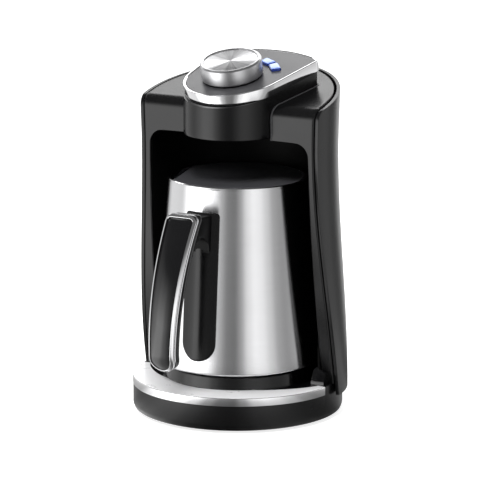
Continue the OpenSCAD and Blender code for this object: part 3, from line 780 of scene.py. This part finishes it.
def bay_roof():
    """Ceiling of the bay, and the closed underside of the nose."""
    radius, high = FRAME_R - WALL - 0.4, CEILING_Z + CEILING_H
    rows = []
    for z in (CEILING_Z, high):
        start = math.degrees(math.asin((liner_y(z) - AXIS_Y) / radius))
        rows.append([(x, y, z) for x, y in arc(0, AXIS_Y, radius, start, 180 - start, 120)])
    nose = stack(lambda grow: ring_points(0, KNOB_Y, NOSE_R + grow),
                 [(-1.6, CEILING_Z + 0.25), (-1.6, high - 0.2)])
    roof = join("bay_roof", [tube("bay_roof_disc", rows), tube("bay_roof_nose", nose)])
    place(roof, "machine", "matte_black", "bay_ceiling")


def on_plate(obj):
    obj.matrix_world = PLATE_SPACE @ obj.matrix_world
    return obj


def control_plate():
    """Bright band around the plate, and the dark panel with its cut-outs for knob and keys."""
    low = -BAND_H
    section = [(-6.0, low), (-0.4, low), (-0.12, low + 0.12), (0, low + 0.4), (0, -0.5),
               (-0.15, -0.15), (-0.5, 0), (-1.3, 0), (-1.75, -0.12), (-2.15, -0.6), (-2.2, -1.0),
               (-2.2, low + 1), (-6.0, low + 1)]
    rows = stack(lambda grow: resample(plate_outline(grow), 360), section)
    place(on_plate(loop_form("plate_band", rows)), "machine", "bright_metal", "plate_trim")

    edge = 0.00015
    curve = bpy.data.curves.new("panel_outline", "CURVE")
    curve.dimensions, curve.fill_mode = "2D", "BOTH"
    loops = [resample(plate_outline(-2.3), 300), ring_points(0, 0, 4.7, 64)]
    for turn in KEY_TURNS:
        spin = Matrix.Rotation(math.radians(-turn), 2)
        loops.append([tuple(spin @ Vector((x, y + KEY_RADIUS))) for x, y in key_outline(0.3)])
    for points in loops:
        spline = curve.splines.new("POLY")
        spline.points.add(len(points) - 1)
        for item, (x, y) in zip(spline.points, points):
            item.co = (x / MM, y / MM, 0, 1)
        spline.use_cyclic_u = True
    curve.extrude, curve.bevel_depth, curve.bevel_resolution, curve.offset = 0.00095, edge, 1, -edge
    flat = add_object("control_panel_curve", curve)
    obj = add_object("control_panel", worked_out(flat))
    bpy.data.objects.remove(flat)
    obj.matrix_world = PLATE_SPACE @ Matrix.Translation((0, 0, -0.0015))
    place(obj, "machine", "panel_grey", "control_plate")


def knob():
    """Dark recess, turned knob, and the spun disc in its top, which carries painted highlight fans.
    """
    r, h, shaft_r = KNOB_R, KNOB_H, 3.02
    collar = rounded([(5, -0.35, 0), (18.4, -0.35, 0), (18.4, 0.3, 0.2), (5, 0.3, 0)])
    place(on_plate(revolve("knob_recess", collar)), "machine", "gloss_black", "knob_collar")
    ring = rounded([(shaft_r, 0.45, 0), (r - 1.0, 0.45, 0.3), (r, 1.3, 0.5), (r, h - 1.2, 0.35),
                    (r - 0.9, h - 0.1, 0.5), (r - 2.1, h, 0.3), (r - 2.6, h - 0.6, 0.3),
                    (r - 2.7, h - 1.7, 0), (shaft_r, h - 1.7, 0)], 4)
    place(on_plate(revolve("knob_ring", ring, 192)), "knob", "knob_metal", "knob_body", 30)
    disc = [(0.0, h - 1.65), (r - 2.78, h - 1.65), (r - 2.78, h - 0.75), (r - 3.2, h - 0.6),
            (0.9, h - 0.85), (0.0, h - 0.85)]
    place(on_plate(revolve("knob_spun_disc", disc, 192)), "knob", "knob_metal", "knob_disc", 30,
          ["knob_face"])


def keys():
    """Two translucent caps, with painted shade down their sides: the sides take a darker copy of
    the blue.
    """
    levels = ((0.5, -4.4), (0.5, -3.15), (0, -3.1), (0, 0.7), (-0.15, 1.15), (-0.55, 1.42),
              (-1.1, 1.5))
    for name, turn in zip(("small_cup_key", "large_cup_key"), KEY_TURNS):
        rows = [[(x, y + KEY_RADIUS, z) for x, y, z in row] for row in stack(key_outline, levels)]
        obj = tube(name + "_cap", rows)
        obj.matrix_world = PLATE_SPACE @ Matrix.Rotation(math.radians(-turn), 4, "Z")
        place(obj, name, "key_blue", name, finish=["key_blue", "key_blue_painted_shade"])
        # Faces that look up keep the lit blue; the rest take the painted shade.
        for face in obj.data.polygons:
            face.material_index = 0 if face.normal.z > 0.35 else 1


# ------------------------------ base

def polar_limit(cy, radius, angle):
    """Distance from the origin, along an angle, to a circle around (0, cy)."""
    along = math.sin(angle) * cy
    return along + math.sqrt(max(0.0, along ** 2 - cy ** 2 + radius ** 2))


def crescent():
    """Bright band around the front of the base, satin on its crescent-shaped top."""
    satin_from, outside, back_z = (TRIM_TOP - 0.3) / MM, BASE_R + 0.2, DECK_Z + 0.02
    end = math.asin(7.1 / BASE_R)
    rows = []
    for i in range(161):
        a = -end - (math.pi - 2 * end) * i / 160
        inside = max(CRESCENT_LEAST_R, polar_limit(CRESCENT_Y, CRESCENT_R, a))
        section = [(inside, TRIM_TOP, 0.35), (outside, TRIM_TOP, 0.8), (outside, TRIM_LOW, 0.4),
                   (TRIM_BACK_R, TRIM_LOW, 0), (TRIM_BACK_R, back_z, 0), (inside, back_z, 0)]
        rows.append(turned(rounded(section, 4), a))
    obj = tube("base_crescent", rows)
    place(obj, "machine", "bright_metal", "base_trim", 30, ["bright_metal", "crescent_top"])
    for face in obj.data.polygons:
        face.material_index = 1 if face.center.z > satin_from else 0


def bowl():
    """Black bowl with a rounded lower edge: stepped back under the trim, and higher at the back."""
    notch = math.asin(7.0 / BASE_R)
    front = [-notch - (math.pi - 2 * notch) * i / 110 for i in range(111)]
    back = [math.pi + notch - (math.pi + 2 * notch) * i / 130 for i in range(131)]
    rows = []
    for k, a in enumerate(front + back):
        if k < len(front):
            top, step, upper = DECK_Z, TRIM_LOW - 0.05, 71.2
        else:
            top, step = TRIM_TOP, BODY_LOW - 0.2
            upper = min(BASE_R, polar_limit(AXIS_Y, body_r(TRIM_TOP) - WALL - 0.3, a))
        section = [(66.9, 0.8, 0), (68.4, 0.8, 1.0), (72.0, 2.1, 2.5), (BASE_R, 5.4, 2.5),
                   (BASE_R, step, 0.2), (upper, step, 0), (upper, top, 0.5), (70.6, top, 0.3),
                   (70.6, 7.4, 0), (66.9, 3.6, 0)]
        rows.append(turned(rounded(section, 4), a))
    place(loop_form("base_bowl_shell", rows), "machine", "satin_black", "base_bowl", 30)


def deck_toe(side):
    """The sloping foot of the deck in front of one leg."""
    (first_y, _), (first_x, _) = TOE_FRONT[0], TOE_ROOF[0]
    rows = []
    for i in range(17):
        y = first_y + TOE_LENGTH * i / 16
        reach = math.sqrt(DECK_R ** 2 - y * y)
        row = [(first_x, DECK_Z - 1)]
        for j in range(13):
            x = first_x + (reach - first_x) * j / 12
            row.append((x, max(DECK_Z, min(value_at(TOE_FRONT, y), value_at(TOE_ROOF, x)))))
        row.append((reach, DECK_Z - 1))
        rows.append([(side * x, y, z) for x, z in row])
    return tube("deck_toe", rows)


def deck_and_plate():
    """Deck with the raised ring around the plate, and the plate with its rim."""
    top, hole = PLATE_TOP, 7.4
    deck = rounded([(44, DECK_Z - 2, 0), (DECK_R, DECK_Z - 2, 0), (DECK_R, DECK_Z, 0.3),
                    (51.5, DECK_Z, 2.5), (49.5, top - 2.5, 0.8), (46.8, top - 2.5, 0.3),
                    (46.7, top - 5, 0), (44, top - 5, 0)])
    shell = join("base_deck_shell", [revolve("deck_plate", deck), deck_toe(1), deck_toe(-1)])
    place(shell, "machine", "gloss_black", "base_deck", 30)
    plate = rounded([(hole, top - 3, 0), (41, top - 3, 0), (41, top - 4.9, 0),
                     (46.5, top - 4.9, 0), (46.5, top - 1.5, 0.4), (43, top - 1.4, 0.4),
                     (43, top, 0.5), (hole, top, 0.3)])
    place(revolve("hot_plate", plate), "machine", "plate_coating", "heating_plate", 30)


# ------------------------------ pot

def pot_shell():
    """Steel cone with a rounded foot, a rolled rim and a soft dip for pouring."""
    foot, rim, low_r, top_r = PLATE_TOP, RIM_Z, POT_LOW_R, POT_TOP_R
    profile = rounded([
        (0.01, foot + 1.5, 0), (low_r - 4.6, foot + 1.5, 0), (low_r - 4.6, foot + 0.05, 0),
        (low_r - 0.1, foot + 0.05, 1.8), (pot_r(foot + 9), foot + 9, 0),
        (top_r + 0.1, rim - 2.0, 0.5), (top_r + 0.3, rim - 0.6, 0.3),
        (top_r - 0.4, rim, 0.3), (top_r - 1.1, rim - 0.3, 0.3),
        (top_r - POT_WALL, rim - 2.0, 0.4), (pot_r(foot + 9) - POT_WALL, foot + 9, 0),
        (pot_r(foot + 3) - POT_WALL, foot + 2.7, 3.5), (0.01, foot + 2.7, 0)])
    fine = []
    for (ra, za), (rb, zb) in zip(profile, profile[1:] + profile[:1]):
        count = max(1, int(abs(zb - za) / 8))
        fine += [(ra + (rb - ra) * i / count, za + (zb - za) * i / count) for i in range(count)]
    rows = []
    for i in range(224):
        a = TAU * i / 224
        dip = math.exp(-((math.degrees(a) - (SPOUT_ANGLE - 8)) / SPOUT_HALF) ** 2)
        row = []
        for r, z in fine:
            near = max(0.0, 1 - (rim - z) / SPOUT_REACH) if r > 40 else 0.0
            row.append((r + 0.25 * dip * near, z - SPOUT_DIP * dip * min(1.0, near * 1.6)))
        rows.append(turned(row, a))
    place(loop_form("pot_shell", rows), "pot", "pot_steel", "pot_body", 30)


def lid():
    """Flat lid with a skirt, cut straight on the pouring side."""
    rim = RIM_Z

    def outline(radius):
        reach = math.degrees(math.acos(min(1.0, SPOUT_CHORD / radius)))
        return resample(arc(0, 0, radius, SPOUT_ANGLE + reach, SPOUT_ANGLE - reach + 360, 150), 240)

    disc = [(45.2, rim - 2.0), (46.2, rim - 1.9), (46.3, rim - 1.2), (46.3, rim - 0.2),
            (46.1, rim + 0.12), (45.7, rim + 0.2), (45.1, rim + 0.15), (44.7, rim - 0.1),
            (44.2, rim - 0.2)]
    skirt = [(43.4, rim - 1.9), (45.4, rim - 1.9), (45.4, rim - 8.2), (45.1, rim - 8.5),
             (43.7, rim - 8.5), (43.4, rim - 8.2)]
    parts = [tube("lid_disc", stack(outline, disc)), loop_form("lid_skirt", stack(outline, skirt))]
    place(join("lid_cover", parts), "lid", "lid_black", "lid", 30)


# ------------------------------ handle

def pot_strip():
    """Black strip on the pot: round below, with a blunt ridge along its middle."""
    half, high, columns = STRIP_HALF, STRIP_TOP_Z, 28
    low, corner_z = STRIP_MID_Z - half, STRIP_TOP_Z - STRIP_CORNER
    levels = [low + half * (1 - math.cos(t)) for t in quarter(14)[:-1]]
    levels += [low + half + (corner_z - low - half) * i / 44 for i in range(44)]
    levels += [corner_z + STRIP_CORNER * math.sin(t) for t in quarter(6)]
    rows = []
    for z in levels:
        wide = math.sqrt(max(0.0, half ** 2 - max(0.0, low + half - z) ** 2))
        if z > corner_z:
            across = math.sqrt(max(0.0, STRIP_CORNER ** 2 - (z - corner_z) ** 2))
            wide = half - STRIP_CORNER + across
        wide = max(wide, 0.02)
        end = swell(min(1.0, (z - low) / 2.2, high - z))
        front, back = [], []
        for j in range(columns + 1):
            u = math.sin(math.pi / 2 * (2 * j / columns - 1))
            x = wide * u
            off = abs(x)
            fall = 0.03 * off ** 2 if off < 4 else 0.48 + 0.24 * (off - 4)
            rise = swell(min(1.0, wide * (1 - abs(u)) / 1.6)) * end
            for depth, line in ((0.3 + rise * max(0.05, 2.5 - fall), front), (0.15, back)):
                r = pot_r(z) + depth
                line.append((x, -math.sqrt(r * r - x * x), z))
        rows.append(front + back[::-1])
    place(tube("strip_on_pot", rows), "pot", "satin_black", "handle_strip", 40)


def handle_rows(section):
    """Loops around the handle, one for each (inset, depth)."""
    return [[(x, handle_y(z) + depth, z) for x, z in handle_outline(inset)]
            for inset, depth in section]


def handle_frame():
    """Bright frame around the handle's face."""
    section = ((1.3, 6.2), (0.15, 6.2), (0.0, 5.9), (0.0, 2.6), (0.06, 2.35), (0.2, 2.15),
               (1.35, 1.0), (1.55, 0.86), (1.75, 0.9), (1.85, 1.1), (1.85, 3.0), (1.3, 3.0))
    obj = loop_form("handle_frame", handle_rows(section))
    place(obj, "pot", "bright_metal", "handle_trim", 40)


def handle_face():
    """Glossy face of the handle: crowned across, and drooping at both ends."""
    foot, top, foot_run, top_run = HANDLE_LOW_Z + FACE_INSET, HANDLE_HIGH_Z - FACE_INSET, 6.7, 3
    heights = [foot + foot_run * (1 - math.cos(t)) for t in quarter(12)[:-1]]
    heights += [foot + foot_run + (top - top_run - foot_run - foot) * i / 70 for i in range(70)]
    heights += [top - top_run + top_run * math.sin(t) for t in quarter(12)]
    rows = []
    for z in heights:
        wide = max(0.02, handle_width(z, FACE_INSET))
        droop = 1.3 * max(0.0, 1 - (z - foot) / 9) ** 2 + 0.6 * max(0.0, 1 - (top - z) / 4) ** 2
        line = []
        for j in range(33):
            x = wide * math.sin(math.pi / 2 * (j / 16 - 1))
            roll = 0.5 * (1 - swell(min(1.0, (wide - abs(x)) / 0.9)))
            line.append((x, handle_y(z) + min(3.4, 0.1 + droop + 1.8 * (x / 8.5) ** 2 + roll), z))
        line += [(x, handle_y(z) + 6.2, z) for x in (wide, -wide)]
        rows.append(line)
    place(tube("handle_face", rows), "pot", "gloss_black", "handle_grip", 50)


def handle_back():
    """Black back of the handle."""
    section = ((0.6, 6.25), (0.6, 9.5), (0.7, 11.0), (1.0, 12.2), (1.6, 13.1), (2.4, 13.7),
               (3.4, HANDLE_DEPTH))
    place(tube("handle_back", handle_rows(section)), "pot", "satin_black", "handle_core", 40)


def handle_bridge():
    """Block between the strip and the handle, arched below."""
    top, foot = BRIDGE_HIGH_Z, BRIDGE_LOW_Z
    side = [(-50.6, top - 0.5, 1.0)]
    for z, r in ((top, 3.5), (143.0, 0), (137.0, 0), (130.0, 0), (124.0, 0), (foot, 0.6)):
        side.append((handle_y(z) + HANDLE_DEPTH + 0.3, z, r))
    side += [(y, z, 0) for y, z in arc(-65.5, foot, 12.5, 180, 0, 20)[1:-1]]
    side = rounded(side + [(-53.4, foot + 0.3, 0.4)], 5)
    edge = ((0.0, 1.6), (0.25, 0.8), (0.9, 0.2), (1.9, 0.0))
    rows = []
    for x, shrink in ([(across - BRIDGE_HALF, shrink) for across, shrink in edge]
                      + [(BRIDGE_HALF - across, shrink) for across, shrink in edge[::-1]]):
        row = []
        for y, z in side:
            pull = Vector((BRIDGE_MIDDLE[0] - y, BRIDGE_MIDDLE[1] - z)).normalized() * shrink
            row.append((x, y + pull.x, z + pull.y))
        rows.append(row)
    obj = tube("handle_bridge_block", rows)
    place(obj, "pot", "satin_black", "handle_bridge", 35, ["bridge_black"])


front_frame()
rear_cover()
bay_liner()
head_wall()
seam_bead()
bay_roof()
control_plate()
knob()
keys()
crescent()
bowl()
deck_and_plate()
pot_shell()
lid()
pot_strip()
handle_frame()
handle_face()
handle_back()
handle_bridge()

# ------------------------------ camera, floor and light

AZIMUTH, PITCH = math.radians(29.5), math.radians(12.06)
SENSOR, FOCAL_PIXELS, PICTURE_PIXELS = 36.0, 3515, 480
camera = bpy.data.cameras.new("camera")
camera.sensor_width, camera.lens = SENSOR, SENSOR * FOCAL_PIXELS / PICTURE_PIXELS
camera.clip_start, camera.clip_end = 0.1, 100
view = add_object("camera", camera)
view.location = (1.1742, -2.0723, 0.6281)
view.rotation_euler = (math.pi / 2 - PITCH, 0, AZIMUTH)
bpy.context.scene.camera = view

# Brightness of the surroundings as polished faces see them, by direction: degrees from the front,
# growing to the right.
ROUND_ABOUT = [(-180, 1.0), (-164, 1.1), (-150, 0.6), (-135, 0.22), (-119, 0.5), (-103, 0.95),
               (-87, 0.95), (-71, 0.9), (-55, 1.9), (-40, 3.2), (-22, 3.2), (-8, 1.5), (4, 0.55),
               (14, 0.25), (26, 0.2), (34, 0.45), (44, 1.05), (54, 1.3), (64, 1.2), (76, 0.85),
               (88, 0.48), (100, 0.38), (112, 0.45), (122, 0.8), (132, 0.95), (145, 0.75),
               (158, 0.25), (168, 0.3), (180, 1.0)]
PEAK = 4.0       # brightest that the ramp can hold
OVERHEAD = 0.16  # added in every direction, for polished faces
EVEN_LIGHT = 0.25
LAMP_TARGET = Vector((0, 0, 0.2))


def surroundings(tree, vector):
    """Brightness in a direction, or at a place around the machine, with its Y and Z."""
    axes = tree.make("SeparateXYZ", "X", {"Vector": vector}).node.outputs
    turn = tree.calc("ARCTAN2", axes["X"], tree.calc("MULTIPLY", axes["Y"], -1.0))
    place_on_ramp = tree.calc("ADD", tree.calc("DIVIDE", turn, TAU), 0.5)
    colour = tree.make("ValToRGB", "Color", {"Fac": place_on_ramp})
    ramp = colour.node.color_ramp
    ramp.interpolation = "EASE"
    for i, (degrees, level) in enumerate(ROUND_ABOUT):
        spot = (degrees + 180) / 360
        stop = ramp.elements[i] if i < 2 else ramp.elements.new(spot)
        stop.position = spot
        stop.color = (level / PEAK, level / PEAK, level / PEAK, 1)
    return tree.calc("MULTIPLY", colour, PEAK), axes["Y"], axes["Z"]


def white_floor():
    """A pale floor that fades to white far out; polished faces see the surroundings in it, dimmed
    near the machine by a painted shadow.
    """
    mesh = bpy.data.meshes.new("floor")
    corners = ((-9, -9), (9, -9), (9, 9), (-9, 9))
    mesh.from_pydata([(x, y, -0.0005) for x, y in corners], [], [(0, 1, 2, 3)])
    obj = add_object("floor", mesh)
    tree, shader = new_material("floor_white")
    tree.fill(shader, {"Base Color": (0.8, 0.8, 0.8, 1), "Roughness": 0.9,
                       "Specular IOR Level": 0.0})
    spot = tree.make("TexCoord", "Object")
    distance = tree.make("VectorMath", "Value", {0: spot}, operation="LENGTH")
    path = tree.make("LightPath", "Is Camera Ray").node.outputs
    far = tree.calc("MULTIPLY", tree.spread(distance, 0.82, 1.0, 0.2, 0.6), path["Is Camera Ray"])
    lift = tree.make("Emission", "Emission", {"Color": (1, 1, 1, 1), "Strength": far})
    seen = tree.make("AddShader", "Shader", {0: shader.outputs["BSDF"], 1: lift})
    level, _, _ = surroundings(tree, spot)
    # Polished faces see the floor dimmer near the machine: a painted shadow of the machine on the
    # floor.
    near = tree.calc("MULTIPLY", level, tree.spread(distance, 0.5, 1.0, 0.11, 0.26))
    shine = tree.make("Emission", "Emission", {"Strength": near})
    choice = tree.make("MixShader", "Shader", {"Fac": path["Is Glossy Ray"], 1: seen, 2: shine})
    tree.fill(tree.nodes["Material Output"], {"Surface": choice})
    mesh.materials.append(MATS["floor_white"])


def studio_world():
    """Banded surroundings for polished faces, an even light for the rest, white for the camera."""
    world = bpy.data.worlds.new("studio")
    bpy.context.scene.world = world
    world.use_nodes = True
    tree = Tree(world.node_tree)
    level, depth, rise = surroundings(tree, tree.make("TexCoord", "Generated"))
    low = tree.calc("MULTIPLY", level, tree.spread(rise, 1.0, 0.0, 0.02, 0.42))
    behind = tree.spread(depth, 0.0, 1.0, 0.45, 0.75)
    lifted = tree.calc("MULTIPLY", behind, tree.spread(rise, 1.0, 0.0, 0.28, 0.42))
    bands = tree.calc("ADD", tree.calc("MAXIMUM", low, lifted), OVERHEAD)
    path = tree.make("LightPath", "Is Glossy Ray").node.outputs
    glossy = tree.calc("MULTIPLY", bands, path["Is Glossy Ray"])
    rest = tree.calc("MULTIPLY", tree.calc("SUBTRACT", 1.0, path["Is Glossy Ray"]), EVEN_LIGHT)
    total = tree.calc("ADD", tree.calc("ADD", glossy, rest), path["Is Camera Ray"])
    tree.fill(tree.nodes["Background"], {"Color": (1, 1, 1, 1), "Strength": total})


def softbox(name, azimuth, elevation, distance, size, power, in_mirrors=True):
    """A lamp that faces the machine; azimuth 0 is in front, and it grows to the right."""
    lamp = bpy.data.lights.new(name, "AREA")
    lamp.shape, lamp.size, lamp.size_y, lamp.energy = "RECTANGLE", *size, power
    obj = add_object(name, lamp)
    a, e = math.radians(azimuth), math.radians(elevation)
    away = Vector((math.sin(a) * math.cos(e), -math.cos(a) * math.cos(e), math.sin(e)))
    obj.location = LAMP_TARGET + away * distance
    obj.rotation_euler = away.to_track_quat("Z", "Y").to_euler()
    obj.visible_glossy = in_mirrors


white_floor()
studio_world()
softbox("key_left", -45, 40, 1.6, (1.0, 1.0), 10, False)
softbox("top", 20, 80, 1.5, (1.0, 1.0), 8, False)
softbox("front_high", 20, 58, 1.4, (0.5, 0.5), 15, False)
softbox("back_left", -144, 37, 0.9, (1.5, 0.30), 4.3)

bpy.context.scene.view_settings.view_transform = "Standard"
